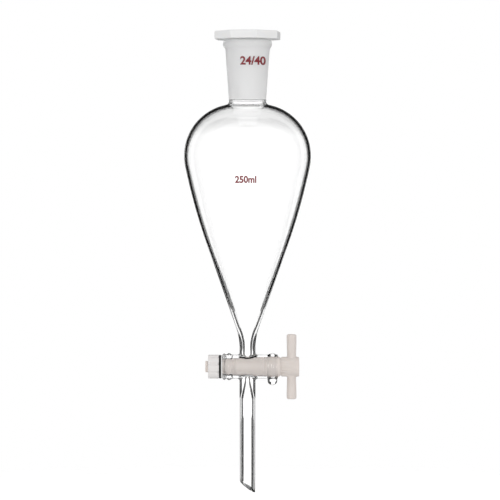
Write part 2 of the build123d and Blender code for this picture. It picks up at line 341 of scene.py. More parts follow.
def barrel():
    """The barrel with its lip and beads, solid until its bore is cut."""
    beads = ((SMALL_END + 1.1, 0.8, 1.6), (-11.9, 1.0, 2.3), (MOUTH - 3.45, 1.0, 3.6))

    def radius(x):
        size = BARREL
        for middle, rise, reach in beads:
            if abs(x - middle) < reach:
                size += rise * cos((x - middle) / reach * pi / 2) ** 2
        return size

    rings = [(NIL, SMALL_END), (radius(SMALL_END) - 0.4, SMALL_END), (radius(SMALL_END) - 0.1, SMALL_END + 0.12)]
    places = [SMALL_END + 0.35 + 0.3 * n for n in range(25)]
    places += [-7.0, 7.0] + [MOUTH - 7.6 + 0.4 * n for n in range(18)]
    rings += [(radius(x), x) for x in places]
    rings += [(radius(MOUTH) + 0.15, MOUTH - 0.4), (radius(MOUTH) - 0.1, MOUTH - 0.1)]
    rings += [(radius(MOUTH) - 0.5, MOUTH), (NIL, MOUTH)]
    return lay_along_barrel(turned("barrel", rings))


def foot():
    """The glass foot under the barrel's mouth."""
    bpy.ops.object.select_all(action="DESELECT")
    place = ((MOUTH - 3.45) * MM, 0, (AXIS - 8.7) * MM)
    bpy.ops.mesh.primitive_uv_sphere_add(segments=48, ring_count=24, radius=3.2 * MM, location=place)
    piece = bpy.context.object
    piece.name = "foot"
    bpy.ops.object.transform_apply(location=True, rotation=False, scale=False)
    edit(piece)
    bpy.ops.mesh.select_all(action="SELECT")
    bpy.ops.transform.resize(value=(1, 0.96, 1), center_override=place)
    close_edit()
    return piece


def crossing():
    """Barrel and arms, bored for the plug, the drain and the outlet; open at both seals."""
    piece = barrel()
    combine(piece, arm("upper_arm", ARM, DRAIN_SEAL, 1), "UNION")
    combine(piece, arm("lower_arm", STEM, STEM_SEAL, -1), "UNION")
    combine(piece, foot(), "UNION")

    def bored(x):
        return PLUG_RADIUS + PLUG_SLOPE * x

    past = 2
    ends = (SMALL_END - past, MOUTH + past)
    rings = [(NIL, ends[0]), (bored(ends[0]), ends[0]), (bored(ends[1]), ends[1]), (NIL, ends[1])]
    combine(piece, lay_along_barrel(turned("plug_bore", rings)), "DIFFERENCE")
    top = DRAIN_SEAL + past
    combine(piece, turned("drain", [(NIL, AXIS), (DRAIN_BORE, AXIS), (DRAIN_BORE, top), (NIL, top)]), "DIFFERENCE")
    bottom = STEM_SEAL - past
    outlet = [(NIL, AXIS), (OUTLET_BORE, AXIS), (OUTLET_BORE, AXIS - OUTLET_END + 0.4)]
    outlet += [(OUTLET_BORE + 0.1, AXIS - OUTLET_END - 0.6), (STEM_BORE, STEM_SEAL + 0.3)]
    outlet += [(STEM_BORE, bottom), (NIL, bottom)]
    combine(piece, turned("outlet", outlet), "DIFFERENCE")
    edit(piece)

    def at_seal(face):
        height = face.calc_center_median().z / MM
        level_face = abs(face.normal.z) > 0.99
        return level_face and (abs(height - DRAIN_SEAL) < 0.01 or abs(height - STEM_SEAL) < 0.01)

    pick(piece, "faces", at_seal)
    bpy.ops.mesh.delete(type="FACE")
    close_edit()
    return piece


def drip_stem():
    """Tube, cut at a slant and fire-polished at the tip; open at its seal."""
    low = STEM_SEAL - STEM_LENGTH
    outer = [(STEM, STEM_SEAL), (STEM, low + 14), (STEM, low - 1)]
    inner = [(STEM_BORE, STEM_SEAL), (STEM_BORE, low + 14), (STEM_BORE, low - 1)]
    piece = join([turned("stem", outer), turned("stem_bore", inner)], "stem")
    edit(piece)
    bpy.ops.mesh.select_all(action="SELECT")
    slant = (sin(TIP_ANGLE) * cos(TIP_TURN), sin(TIP_ANGLE) * sin(TIP_TURN), cos(TIP_ANGLE))
    place = (0, 0, (low + STEM * tan(TIP_ANGLE)) * MM)
    bpy.ops.mesh.bisect(plane_co=place, plane_no=slant, clear_inner=True)
    pick(piece, "edges", lambda edge: edge.is_boundary and edge.verts[0].co.z < (low + 12) * MM)
    bpy.ops.mesh.bridge_edge_loops()
    pick(
        piece,
        "edges",
        lambda edge: not edge.is_boundary
        and edge.calc_face_angle(0) > radians(25)
        and edge.verts[0].co.z < (low + 12) * MM,
    )
    bpy.ops.mesh.bevel(offset=0.35 * MM, offset_type="OFFSET", segments=3, clamp_overlap=False)
    close_edit()
    return piece


def glass_funnel():
    piece = join([bulb_and_socket(), crossing(), drip_stem()], "glass_funnel")
    edit(piece)
    bpy.ops.mesh.select_all(action="SELECT")
    bpy.ops.mesh.remove_doubles(threshold=0.003 * MM)
    bpy.ops.mesh.normals_make_consistent(inside=False)
    close_edit()
    smooth(piece, 28)
    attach(piece, "glass")
    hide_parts("ground_joint_socket", "pear_bulb", "stopcock_barrel", "drip_stem")
    return piece


glass = glass_funnel()

# ---------------------------------------------------------------------------------------
# Stopper
# ---------------------------------------------------------------------------------------

HEAD_CORNERS = 44.2
HEAD_TURN = radians(15.2)
HEAD_LOW = RIM + 0.4
HEAD_HIGH = level("stopper", 1)
STOPPER_LOW = level("stopper", 0)
STOPPER_WALL = 1.8


def stopper_head():
    """Octagonal head: corners and edges rounded, with a small gate mark on top."""
    middle = (HEAD_LOW + HEAD_HIGH) / 2
    thick = HEAD_HIGH - HEAD_LOW
    bpy.ops.object.select_all(action="DESELECT")
    bpy.ops.mesh.primitive_cylinder_add(
        vertices=8,
        radius=HEAD_CORNERS / 2 * MM,
        depth=thick * MM,
        location=(0, 0, middle * MM),
        rotation=(0, 0, HEAD_TURN),
    )
    piece = bpy.context.object
    piece.name = "stopper_head"
    bpy.ops.object.transform_apply(location=True, rotation=True, scale=False)
    edit(piece)
    pick(piece, "edges", lambda edge: abs(edge.verts[0].co.z - edge.verts[1].co.z) > thick * MM / 2)
    bpy.ops.mesh.bevel(offset=0.62 * MM, segments=6)

    def at_height(height):
        return lambda edge: all(abs(v.co.z - height * MM) < 0.01 * MM for v in edge.verts)

    pick(piece, "edges", at_height(HEAD_HIGH))
    bpy.ops.mesh.bevel(offset=0.9 * MM, segments=5)
    pick(piece, "edges", at_height(HEAD_LOW))
    bpy.ops.mesh.bevel(offset=0.35 * MM, segments=3)
    close_edit()
    dimple = [(NIL, HEAD_HIGH + 1), (2.4, HEAD_HIGH + 1), (2.2, HEAD_HIGH - 0.1), (1.9, HEAD_HIGH - 0.35)]
    combine(piece, turned("gate_mark", dimple + [(NIL, HEAD_HIGH - 0.4)], 48), "DIFFERENCE")
    return piece


def octagonal_stopper():
    """Head and hollow tapered body, open below."""

    def taper(height):
        return JOINT_RADIUS + JOINT_SLOPE * (height - RIM) - 0.05

    low = taper(STOPPER_LOW)
    outside = [(NIL, HEAD_LOW + 1.5), (taper(RIM), HEAD_LOW + 1.5), (taper(RIM), RIM)]
    outside += [(low + 0.045, STOPPER_LOW + 0.9)]
    outside += arc((low - 0.9, STOPPER_LOW + 0.9), 0.9, 0, -pi / 2, 6) + [(NIL, STOPPER_LOW)]
    ceiling = HEAD_HIGH - 2.4
    top = taper(ceiling) - STOPPER_WALL
    hollow = [(NIL, STOPPER_LOW - 1), (low - STOPPER_WALL, STOPPER_LOW - 1), (low - STOPPER_WALL, STOPPER_LOW)]
    hollow += arc((top - 1.8, ceiling - 1.8), 1.8, 0, pi / 2, 8) + [(NIL, ceiling)]
    piece = stopper_head()
    combine(piece, turned("stopper_body", outside), "UNION")
    combine(piece, turned("stopper_hollow", hollow), "DIFFERENCE")
    piece.name = "octagonal_stopper"
    smooth(piece, 35)
    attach(piece, "stopper")
    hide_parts("stopper")
    return piece


# ---------------------------------------------------------------------------------------
# Plug, washer, O-ring and nut
# ---------------------------------------------------------------------------------------

THREAD = 3.8
THREAD_PITCH = 1.5
THREAD_DEPTH = 0.42
THREAD_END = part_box("stopcock_plug")[0].x / MM
NUT_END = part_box("tension_nut")[0].x / MM
NUT_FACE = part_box("tension_nut")[1].x / MM
NUT = 7.7
NUT_BORE = 3.85
FLUTES = 8
FLUTE_TURN = radians(15.5)


def ridge(turns):
    """Height of a rounded thread, from 0 at the root to 1 at the crest, for a number of turns."""
    part = turns % 1.0
    rise = abs(2 * part - 1)
    return min(1.0, max(0.0, (rise - 0.15) / 0.7))


def cut_thread(piece, first, last, inside):
    """Moves the points of the threaded wall in or out along a helix about Z, between two heights."""
    edit(piece)
    mesh = bmesh.from_edit_mesh(piece.data)
    for point in mesh.verts:
        radius = sqrt(point.co.x**2 + point.co.y**2)
        height = point.co.z / MM
        if not first < height < last or abs(radius / MM - (NUT_BORE if inside else THREAD)) > 0.05:
            continue
        fade = min(1.0, (height - first) / 0.5, (last - height) / 0.5)
        turn = atan2(point.co.y, point.co.x) / (2 * pi)
        depth = THREAD_DEPTH * fade * (1 - ridge(height / THREAD_PITCH - turn)) * MM
        size = (radius + depth) / radius if inside else (radius - depth) / radius
        point.co.x *= size
        point.co.y *= size
    bmesh.update_edit_mesh(piece.data)
    close_edit()


def threaded_end():
    """The plug's threaded end, which runs into its body."""
    start = SMALL_END + 0.8
    steps = round((start - THREAD_END) / 0.125)
    rings = [(NIL, THREAD_END), (THREAD - 0.75, THREAD_END), (THREAD - 0.35, THREAD_END + 0.15)]
    first = THREAD_END + 0.5
    rings += [(THREAD, first + (start - first) * n / steps) for n in range(steps + 1)] + [(NIL, start)]
    piece = turned("threaded_end", rings, 72)
    cut_thread(piece, first, start - 0.4, False)
    return lay_along_barrel(piece)


def stopcock_plug():
    """Tapered plug with its T-handle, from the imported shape, and a cut thread on its small end."""
    made = frame["nodes"]["stopcock_plug"]
    piece = bpy.data.objects.new("plug_body", made.data.copy())
    bpy.context.collection.objects.link(piece)
    edit(piece)
    bpy.ops.mesh.select_all(action="SELECT")
    bpy.ops.mesh.remove_doubles(threshold=0.001 * MM)
    bpy.ops.mesh.select_all(action="SELECT")
    cut = (SMALL_END + 0.6 - 0.3) * MM
    bpy.ops.mesh.bisect(plane_co=(cut, 0, 0), plane_no=(1, 0, 0), clear_inner=True)
    pick(piece, "edges", lambda edge: edge.is_boundary)
    bpy.ops.mesh.edge_face_add()
    bpy.ops.mesh.select_all(action="SELECT")
    bpy.ops.mesh.normals_make_consistent(inside=False)
    close_edit()
    combine(piece, threaded_end(), "UNION")
    piece.name = "tapered_plug"
    smooth(piece, 30)
    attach(piece, "plug")
    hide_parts("stopcock_plug")
    return piece


def band(name, inner, outer, first, last, edge, sides, steps):
    """A closed ring about Z with rounded edges, drawn round its section."""
    rings = [(inner, first + edge * 0.4), (inner + edge * 0.4, first), (outer - edge, first)]
    rings += arc((outer - edge, first + edge), edge, -pi / 2, 0, steps)[1:]
    rings += arc((outer - edge, last - edge), edge, 0, pi / 2, steps)
    rings += [(inner + edge * 0.4, last), (inner, last - edge * 0.4), (inner, first + edge * 0.4)]
    return turned(name, rings, sides)


def plug_washer():
    low, high = (corner.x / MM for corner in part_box("plug_washer"))
    piece = lay_along_barrel(band("flat_washer", NUT_BORE, 7.5, low, high, 0.2, 96, 3))
    smooth(piece, 35)
    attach(piece, "plug")
    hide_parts("plug_washer")
    return piece


def o_ring():
    low, high = (corner.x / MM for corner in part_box("o_ring"))
    piece = lay_along_barrel(band("rubber_ring", NUT_BORE, 7.6, low, high, 0.5, 96, 6))
    smooth(piece, 35)
    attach(piece, "o_ring")
    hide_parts("o_ring")
    return piece


def tension_nut():
    """Fluted nut with a cut thread; its outer end is slightly dished."""
    steps = round((NUT_FACE - NUT_END) / 0.125)
    bore = [(NUT_BORE, NUT_FACE + (NUT_END - NUT_FACE) * n / steps) for n in range(steps + 1)]
    edge = 0.6
    outer = [(NUT_BORE + 1.1, NUT_END + 0.25), (NUT_BORE + 1.5, NUT_END + 0.02), (NUT - edge - 0.4, NUT_END)]
    outer += arc((NUT - edge, NUT_END + edge), edge, -pi / 2, 0, 5)
    outer += [(NUT, NUT_END + (NUT_FACE - NUT_END) * n / 10) for n in range(2, 9)]
    outer += arc((NUT - edge, NUT_FACE - edge), edge, 0, pi / 2, 5) + [(NUT_BORE, NUT_FACE)]
    piece = turned("fluted_nut", bore + outer, 192)
    cut_thread(piece, NUT_END + 0.3, NUT_FACE - 0.3, True)
    edit(piece)
    mesh = bmesh.from_edit_mesh(piece.data)
    for point in mesh.verts:
        radius = sqrt(point.co.x**2 + point.co.y**2) / MM
        if radius < NUT - 1.6:
            continue
        front = atan2(point.co.y, point.co.x) + pi / 2 + FLUTE_TURN
        off = (front + pi / FLUTES) % (2 * pi / FLUTES) - pi / FLUTES
        across = abs(NUT * sin(off)) / 1.15
        if across < 1:
            depth = 0.8 * (1 - across**2) ** 0.6 * min(1.0, (radius - NUT + 1.6) / 0.8)
            point.co.x *= (radius - depth) / radius
            point.co.y *= (radius - depth) / radius
    bmesh.update_edit_mesh(piece.data)
    close_edit()
    lay_along_barrel(piece)
    smooth(piece, 40)
    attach(piece, "nut")
    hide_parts("tension_nut")
    return piece


stopper = octagonal_stopper()
plug = stopcock_plug()
washer = plug_washer()
ring = o_ring()
nut = tension_nut()

# ---------------------------------------------------------------------------------------
# Enamelled numbers
# ---------------------------------------------------------------------------------------


def neck_radius(height):
    return NECK_ROOT + NECK_SLOPE * (height - JOINT_END)


def flank_radius(height):
    return FLANK_X + sqrt(FLANK_ARC**2 - (height - FLANK_Z) ** 2)


def enamel(name, words, left, right, low, high, radius_at, weight):
    """Numbers of thin fired enamel, laid on the front of the glass; sizes in millimetres."""
    bpy.ops.object.select_all(action="DESELECT")
    bpy.ops.object.text_add()
    piece = bpy.context.object
    piece.name = name
    piece.data.body = words
    piece.data.offset = weight
    bpy.ops.object.convert(target="MESH")
    edit(piece)
    bpy.ops.mesh.select_all(action="SELECT")
    bpy.ops.mesh.remove_doubles(threshold=0.0005)
    mesh = bmesh.from_edit_mesh(piece.data)
    xs = [point.co.x for point in mesh.verts]
    ys = [point.co.y for point in mesh.verts]
    for point in mesh.verts:
        across = left + (point.co.x - min(xs)) / (max(xs) - min(xs)) * (right - left)
        height = low + (point.co.y - min(ys)) / (max(ys) - min(ys)) * (high - low)
        point.co = Vector((across, 0, height)) * MM
    bmesh.update_edit_mesh(piece.data)
    cuts = int((right - left) / 0.4)
    for n in range(1, cuts):
        bpy.ops.mesh.select_all(action="SELECT")
        place = ((left + (right - left) * n / cuts) * MM, 0, 0)
        bpy.ops.mesh.bisect(plane_co=place, plane_no=(1, 0, 0))
    cuts = int((high - low) / 0.8)
    for n in range(1, cuts):
        bpy.ops.mesh.select_all(action="SELECT")
        bpy.ops.mesh.bisect(plane_co=(0, 0, (low + (high - low) * n / cuts) * MM), plane_no=(0, 0, 1))
    mesh = bmesh.from_edit_mesh(piece.data)
    for point in mesh.verts:
        radius = radius_at(point.co.z / MM) + 0.01
        point.co.y = -sqrt(radius**2 - (point.co.x / MM) ** 2) * MM
    bmesh.update_edit_mesh(piece.data)
    mesh = bmesh.from_edit_mesh(piece.data)
    mesh.faces.ensure_lookup_table()
    if sum(face.normal.y * face.calc_area() for face in mesh.faces) > 0:
        bpy.ops.mesh.select_all(action="SELECT")
        bpy.ops.mesh.flip_normals()
    close_edit()
    thick = piece.modifiers.new("thickness", "SOLIDIFY")
    thick.thickness = 0.04 * MM
    thick.offset = 1.0
    bpy.ops.object.modifier_apply(modifier=thick.name)
    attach(piece, "glass")
    return piece


size_numbers = enamel("joint_size_numbers", "24/40", -4.7, 11.7, 97.4, 102.9, neck_radius, 0.03)
volume_numbers = enamel("volume_numbers", "250ml", -7.9, 5.6, 21.1, 25.6, flank_radius, 0.03)

# ---------------------------------------------------------------------------------------
# Material helpers
# ---------------------------------------------------------------------------------------


def node(tree, kind, place=(0, 0), **settings):
    """Adds a node, with its properties and the values of its inputs."""
    made = tree.nodes.new(kind)
    made.location = place
    for name, value in settings.items():
        if hasattr(made, name):
            setattr(made, name, value)
        else:
            made.inputs[name.replace("_", " ")].default_value = value
    return made


def new_material(name):
    material = bpy.data.materials.new(name)
    material.use_nodes = True
    tree = material.node_tree
    tree.nodes.clear()
    return material, tree, node(tree, "ShaderNodeOutputMaterial", (900, 0))


def group(name, inputs, outputs):
    """A node group with named sockets; returns its tree, its input node and its output node."""
    tree = bpy.data.node_groups.new(name, "ShaderNodeTree")
    for socket, kind, value in inputs:
        made = tree.interface.new_socket(socket, in_out="INPUT", socket_type=kind)
        made.default_value = value
    for socket, kind in outputs:
        tree.interface.new_socket(socket, in_out="OUTPUT", socket_type=kind)
    return tree, node(tree, "NodeGroupInput", (-1200, 0)), node(tree, "NodeGroupOutput", (600, 0))


def place_group(tree, which, place, **values):
    made = node(tree, "ShaderNodeGroup", place)
    made.node_tree = which
    for name, value in values.items():
        made.inputs[name.replace("_", " ")].default_value = value
    return made


def waviness_group():
    """Slow waves and faint draw lines in blown glass, as a normal."""
    tree, given, out = group(
        "blown_glass_waves",
        [("Scale", "NodeSocketFloat", 50.0), ("Depth", "NodeSocketFloat", 0.05)],
        [("Normal", "NodeSocketVector")],
    )
    where = node(tree, "ShaderNodeTexCoord", (-1200, -300))
    stretch = node(tree, "ShaderNodeMapping", (-1000, -200))
    stretch.inputs["Scale"].default_value = (1, 1, 0.35)
    waves = node(tree, "ShaderNodeTexNoise", (-800, 0))
    waves.inputs["Detail"].default_value = 1.0
    waves.inputs["Roughness"].default_value = 0.4
    bump = node(tree, "ShaderNodeBump", (200, 0))
    bump.inputs["Distance"].default_value = 0.001
    tree.links.new(where.outputs["Object"], stretch.inputs["Vector"])
    tree.links.new(stretch.outputs["Vector"], waves.inputs["Vector"])
    tree.links.new(given.outputs["Scale"], waves.inputs["Scale"])
    tree.links.new(waves.outputs["Fac"], bump.inputs["Height"])
    tree.links.new(given.outputs["Depth"], bump.inputs["Strength"])
    tree.links.new(bump.outputs["Normal"], out.inputs["Normal"])
    return tree


def plastic_group():
    """Moulded or turned fluoroplastic: cloudy colour, uneven gloss and a fine grain."""
    tree, given, out = group(
        "waxy_plastic",
        [
            ("Colour", "NodeSocketColor", (0.8, 0.8, 0.8, 1)),
            ("Cloud", "NodeSocketFloat", 0.05),
            ("Cloud Scale", "NodeSocketFloat", 160.0),
            ("Gloss", "NodeSocketFloat", 0.4),
            ("Grain Scale", "NodeSocketFloat", 2500.0),
            ("Grain Depth", "NodeSocketFloat", 0.1),
            ("Ring Depth", "NodeSocketFloat", 0.0),
        ],
        [("Colour", "NodeSocketColor"), ("Roughness", "NodeSocketFloat"), ("Normal", "NodeSocketVector")],
    )
    where = node(tree, "ShaderNodeTexCoord", (-1200, -400))
    cloud = node(tree, "ShaderNodeTexNoise", (-900, 200))
    cloud.inputs["Detail"].default_value = 3.0
    centred = node(tree, "ShaderNodeMapRange", (-700, 200))
    centred.inputs["To Min"].default_value = 1.0
    centred.inputs["To Max"].default_value = -1.0
    amount = node(tree, "ShaderNodeMath", (-500, 200), operation="MULTIPLY")
    value = node(tree, "ShaderNodeMath", (-300, 200), operation="ADD")
    value.inputs[1].default_value = 1.0
    shade = node(tree, "ShaderNodeHueSaturation", (-100, 300))
    rough = node(tree, "ShaderNodeMath", (-100, 100), operation="MULTIPLY_ADD")
    rough.inputs[1].default_value = 0.12
    grain = node(tree, "ShaderNodeTexNoise", (-900, -200))
    grain.inputs["Detail"].default_value = 2.0
    rings = node(tree, "ShaderNodeTexWave", (-900, -500), wave_type="BANDS", bands_direction="X")
    rings.inputs["Scale"].default_value = 420.0
    rings.inputs["Distortion"].default_value = 0.6
    ring_height = node(tree, "ShaderNodeMath", (-600, -500), operation="MULTIPLY")
    fine = node(tree, "ShaderNodeMath", (-600, -200), operation="MULTIPLY")
    both = node(tree, "ShaderNodeMath", (-400, -300), operation="ADD")
    bump = node(tree, "ShaderNodeBump", (0, -300))
    bump.inputs["Distance"].default_value = 0.0001
    bump.inputs["Strength"].default_value = 1.0
    for texture in (cloud, grain, rings):
        tree.links.new(where.outputs["Object"], texture.inputs["Vector"])
    tree.links.new(given.outputs["Cloud Scale"], cloud.inputs["Scale"])
    tree.links.new(given.outputs["Grain Scale"], grain.inputs["Scale"])
    tree.links.new(cloud.outputs["Fac"], centred.inputs["Value"])
    tree.links.new(centred.outputs["Result"], amount.inputs[0])
    tree.links.new(given.outputs["Cloud"], amount.inputs[1])
    tree.links.new(amount.outputs["Value"], value.inputs[0])
    tree.links.new(given.outputs["Colour"], shade.inputs["Color"])
    tree.links.new(value.outputs["Value"], shade.inputs["Value"])
    tree.links.new(centred.outputs["Result"], rough.inputs[0])
    tree.links.new(given.outputs["Gloss"], rough.inputs[2])
    tree.links.new(grain.outputs["Fac"], fine.inputs[0])
    tree.links.new(given.outputs["Grain Depth"], fine.inputs[1])
    tree.links.new(rings.outputs["Fac"], ring_height.inputs[0])
    tree.links.new(given.outputs["Ring Depth"], ring_height.inputs[1])
    tree.links.new(fine.outputs["Value"], both.inputs[0])
    tree.links.new(ring_height.outputs["Value"], both.inputs[1])
    tree.links.new(both.outputs["Value"], bump.inputs["Height"])
    tree.links.new(shade.outputs["Color"], out.inputs["Colour"])
    tree.links.new(rough.outputs["Value"], out.inputs["Roughness"])
    tree.links.new(bump.outputs["Normal"], out.inputs["Normal"])
    return tree


WAVES = waviness_group()
WAXY = plastic_group()

# ---------------------------------------------------------------------------------------
# Glass finish
# ---------------------------------------------------------------------------------------


def thin_shadow(tree, shader, out, shade):
    """Lets light through to what lies behind, in shadows."""
    clear = node(tree, "ShaderNodeBsdfTransparent", (300, -300))
    clear.inputs["Color"].default_value = (shade, shade, shade, 1)
    path = node(tree, "ShaderNodeLightPath", (300, 300))
    mix = node(tree, "ShaderNodeMixShader", (600, 0))
    tree.links.new(path.outputs["Is Shadow Ray"], mix.inputs["Fac"])
    tree.links.new(shader.outputs["BSDF"], mix.inputs[1])
    tree.links.new(clear.outputs["BSDF"], mix.inputs[2])
    tree.links.new(mix.outputs["Shader"], out.inputs["Surface"])


def clear_glass():
    """Clear borosilicate glass, blown and drawn."""
    material, tree, out = new_material("clear_glass_visual")
    shader = node(tree, "ShaderNodeBsdfPrincipled", (0, 0))
    shader.inputs["Base Color"].default_value = (1, 1, 1, 1)
    shader.inputs["Transmission Weight"].default_value = 1.0
    shader.inputs["IOR"].default_value = 1.474
    shader.inputs["Roughness"].default_value = 0.0
    waves = place_group(tree, WAVES, (-300, -200), Scale=40.0)
    where = node(tree, "ShaderNodeTexCoord", (-900, -200))
    parts = node(tree, "ShaderNodeSeparateXYZ", (-700, -200))
    blown = node(tree, "ShaderNodeMapRange", (-500, -200))
    blown.inputs["From Min"].default_value = -0.08
    blown.inputs["From Max"].default_value = -0.03
    blown.inputs["To Max"].default_value = 0.05
    tree.links.new(where.outputs["Object"], parts.inputs["Vector"])
    tree.links.new(parts.outputs["Z"], blown.inputs["Value"])
    tree.links.new(blown.outputs["Result"], waves.inputs["Depth"])
    tree.links.new(waves.outputs["Normal"], shader.inputs["Normal"])
    thin_shadow(tree, shader, out, 0.94)
    return material


def ground_glass():
    """Ground, frosted glass of the socket."""
    material, tree, out = new_material("ground_glass_visual")
    shader = node(tree, "ShaderNodeBsdfPrincipled", (0, 0))
    shader.inputs["Transmission Weight"].default_value = 0.55
    shader.inputs["IOR"].default_value = 1.474
    grit = place_group(
        tree,
        WAXY,
        (-400, 0),
        Colour=(0.93, 0.93, 0.93, 1),
        Cloud=0.01,
        Cloud_Scale=90.0,
        Gloss=0.5,
        Grain_Scale=4000.0,
        Grain_Depth=0.25,
    )
    tree.links.new(grit.outputs["Colour"], shader.inputs["Base Color"])
    tree.links.new(grit.outputs["Roughness"], shader.inputs["Roughness"])
    tree.links.new(grit.outputs["Normal"], shader.inputs["Normal"])
    thin_shadow(tree, shader, out, 0.8)
    return material


def finish_glass():
    glass.data.materials.clear()
    glass.data.materials.append(clear_glass())
    glass.data.materials.append(ground_glass())
    edit(glass)
    pick(glass, "faces", lambda face: min(v.co.z for v in face.verts) > (GROUND_END - 0.01) * MM)
    glass.active_material_index = 1
    bpy.ops.object.material_slot_assign()
    close_edit()


finish_glass()

# ---------------------------------------------------------------------------------------
# Plastics and rubber
# ---------------------------------------------------------------------------------------


def plastic(name, colour, translucent, **values):
    """A waxy white plastic; light goes a little way into it."""
    material, tree, out = new_material(name)
    shader = node(tree, "ShaderNodeBsdfPrincipled", (0, 0))
    shader.inputs["IOR"].default_value = 1.4
    shader.inputs["Subsurface Weight"].default_value = translucent
    shader.inputs["Subsurface Radius"].default_value = (1.0, 0.95, 0.9)
    shader.inputs["Subsurface Scale"].default_value = 0.0015
    body = place_group(tree, WAXY, (-400, 0), Colour=(*colour, 1), **values)
    tree.links.new(body.outputs["Colour"], shader.inputs["Base Color"])
    tree.links.new(body.outputs["Roughness"], shader.inputs["Roughness"])
    tree.links.new(body.outputs["Normal"], shader.inputs["Normal"])
    tree.links.new(shader.outputs["BSDF"], out.inputs["Surface"])
    return material


def wear(piece, material):
    """Gives a piece or a carried-over node its finish."""
    if not piece.data.materials:
        piece.data.materials.append(material)
    for place in piece.material_slots:
        place.material = material


def paint_light_along_plug(material, stops):
    """Paints light and shade into the plug's colour along it: lighter rings and ends, darker stretches between, as
    (place in mm, factor) stops.
    """
    tree = material.node_tree
    body = next(item for item in tree.nodes if item.type == "GROUP")
    shader = next(item for item in tree.nodes if item.type == "BSDF_PRINCIPLED")
    where = node(tree, "ShaderNodeTexCoord", (-1200, 300))
    parts = node(tree, "ShaderNodeSeparateXYZ", (-1000, 300))
    first, last = stops[0][0], stops[-1][0]
    reach = node(tree, "ShaderNodeMapRange", (-800, 300))
    reach.inputs["From Min"].default_value = first * MM
    reach.inputs["From Max"].default_value = last * MM
    ramp = node(tree, "ShaderNodeValToRGB", (-600, 300))
    most = max(factor for place, factor in stops)
    for n, (place, factor) in enumerate(stops):
        at = (place - first) / (last - first)
        point = ramp.color_ramp.elements[n] if n < 2 else ramp.color_ramp.elements.new(at)
        point.position = at
        point.color = (factor / most, factor / most, factor / most, 1)
    mix = node(tree, "ShaderNodeMix", (-150, 200), data_type="RGBA", blend_type="MULTIPLY")
    mix.inputs["Factor"].default_value = 1.0
    tree.links.new(where.outputs["Object"], parts.inputs["Vector"])
    tree.links.new(parts.outputs["X"], reach.inputs["Value"])
    tree.links.new(reach.outputs["Result"], ramp.inputs["Fac"])
    tree.links.new(body.outputs["Colour"], mix.inputs["A"])
    tree.links.new(ramp.outputs["Color"], mix.inputs["B"])
    tree.links.new(mix.outputs["Result"], shader.inputs["Base Color"])


def enamel_red():
    """Fired red enamel, a little uneven."""
    material, tree, out = new_material("enamel_red")
    shader = node(tree, "ShaderNodeBsdfPrincipled", (0, 0))
    shader.inputs["Roughness"].default_value = 0.35
    body = place_group(
        tree,
        WAXY,
        (-400, 0),
        Colour=(0.2, 0.003, 0.009, 1),
        Cloud=0.12,
        Cloud_Scale=700.0,
        Gloss=0.35,
        Grain_Scale=3000.0,
        Grain_Depth=0.2,
    )
    tree.links.new(body.outputs["Colour"], shader.inputs["Base Color"])
    tree.links.new(body.outputs["Normal"], shader.inputs["Normal"])
    tree.links.new(shader.outputs["BSDF"], out.inputs["Surface"])
    return material


STOPPER_WHITE = plastic("stopper_white", (0.82, 0.82, 0.82), 0.3, Cloud=0.02, Gloss=0.38, Grain_Depth=0.15)
PLUG_WHITE = plastic("plug_white", (0.82, 0.75, 0.705), 0.3, Cloud=0.05, Gloss=0.4, Grain_Depth=0.1, Ring_Depth=0.15)
NUT_WHITE = plastic("nut_white", (0.79, 0.765, 0.755), 0.25, Cloud=0.02, Gloss=0.4, Grain_Depth=0.1)
WASHER_WHITE = plastic("washer_white", (0.8, 0.79, 0.78), 0.3, Cloud=0.02, Gloss=0.45, Grain_Depth=0.1)
RING_BLACK = plastic("ring_black", (0.015, 0.015, 0.015), 0.0, Cloud=0.2, Gloss=0.45, Grain_Depth=0.3)
# Painted light and shade along the plug, as (place in mm, factor): the short high stretches are painted light bands,
# and the low stretches are painted shade.
PLUG_PAINTED_LIGHT = [
    (-28, 1.07),
    (-17.5, 1.05),
    (-15.8, 0.88),
    (-10.4, 0.87),
    (-9.6, 1.07),
    (-8.6, 1.07),
    (-7.8, 0.93),
    (10.6, 0.93),
    (11.4, 1.07),
    (12.6, 1.07),
    (13.4, 0.86),
    (18.4, 0.88),
    (19.2, 1.05),
    (21.0, 0.95),
    (34, 0.91),
]
paint_light_along_plug(PLUG_WHITE, PLUG_PAINTED_LIGHT)
ENAMEL = enamel_red()

rubber = next(item for item in RING_BLACK.node_tree.nodes if item.type == "BSDF_PRINCIPLED")
rubber.inputs["Specular IOR Level"].default_value = 0.15

wear(size_numbers, ENAMEL)
wear(volume_numbers, ENAMEL)
wear(stopper, STOPPER_WHITE)
wear(plug, PLUG_WHITE)
wear(nut, NUT_WHITE)
wear(washer, WASHER_WHITE)
wear(ring, RING_BLACK)

# ---------------------------------------------------------------------------------------
# Stage, light and camera
# ---------------------------------------------------------------------------------------

LOOK = Vector((1.6, 0, -21.4)) * MM
DISTANCE = 2.24
SPAN = 0.3225
FLOOR = (TIP - 12) * MM


def camera():
    data = bpy.data.cameras.new("camera")
    data.sensor_width = 36
    data.lens = 36 * DISTANCE / SPAN
    made = bpy.data.objects.new("camera", data)
    bpy.context.collection.objects.link(made)
    made.location = LOOK + Vector((0, -DISTANCE, 0))
    made.rotation_euler = (pi / 2, 0, 0)
    bpy.context.scene.camera = made
    return made


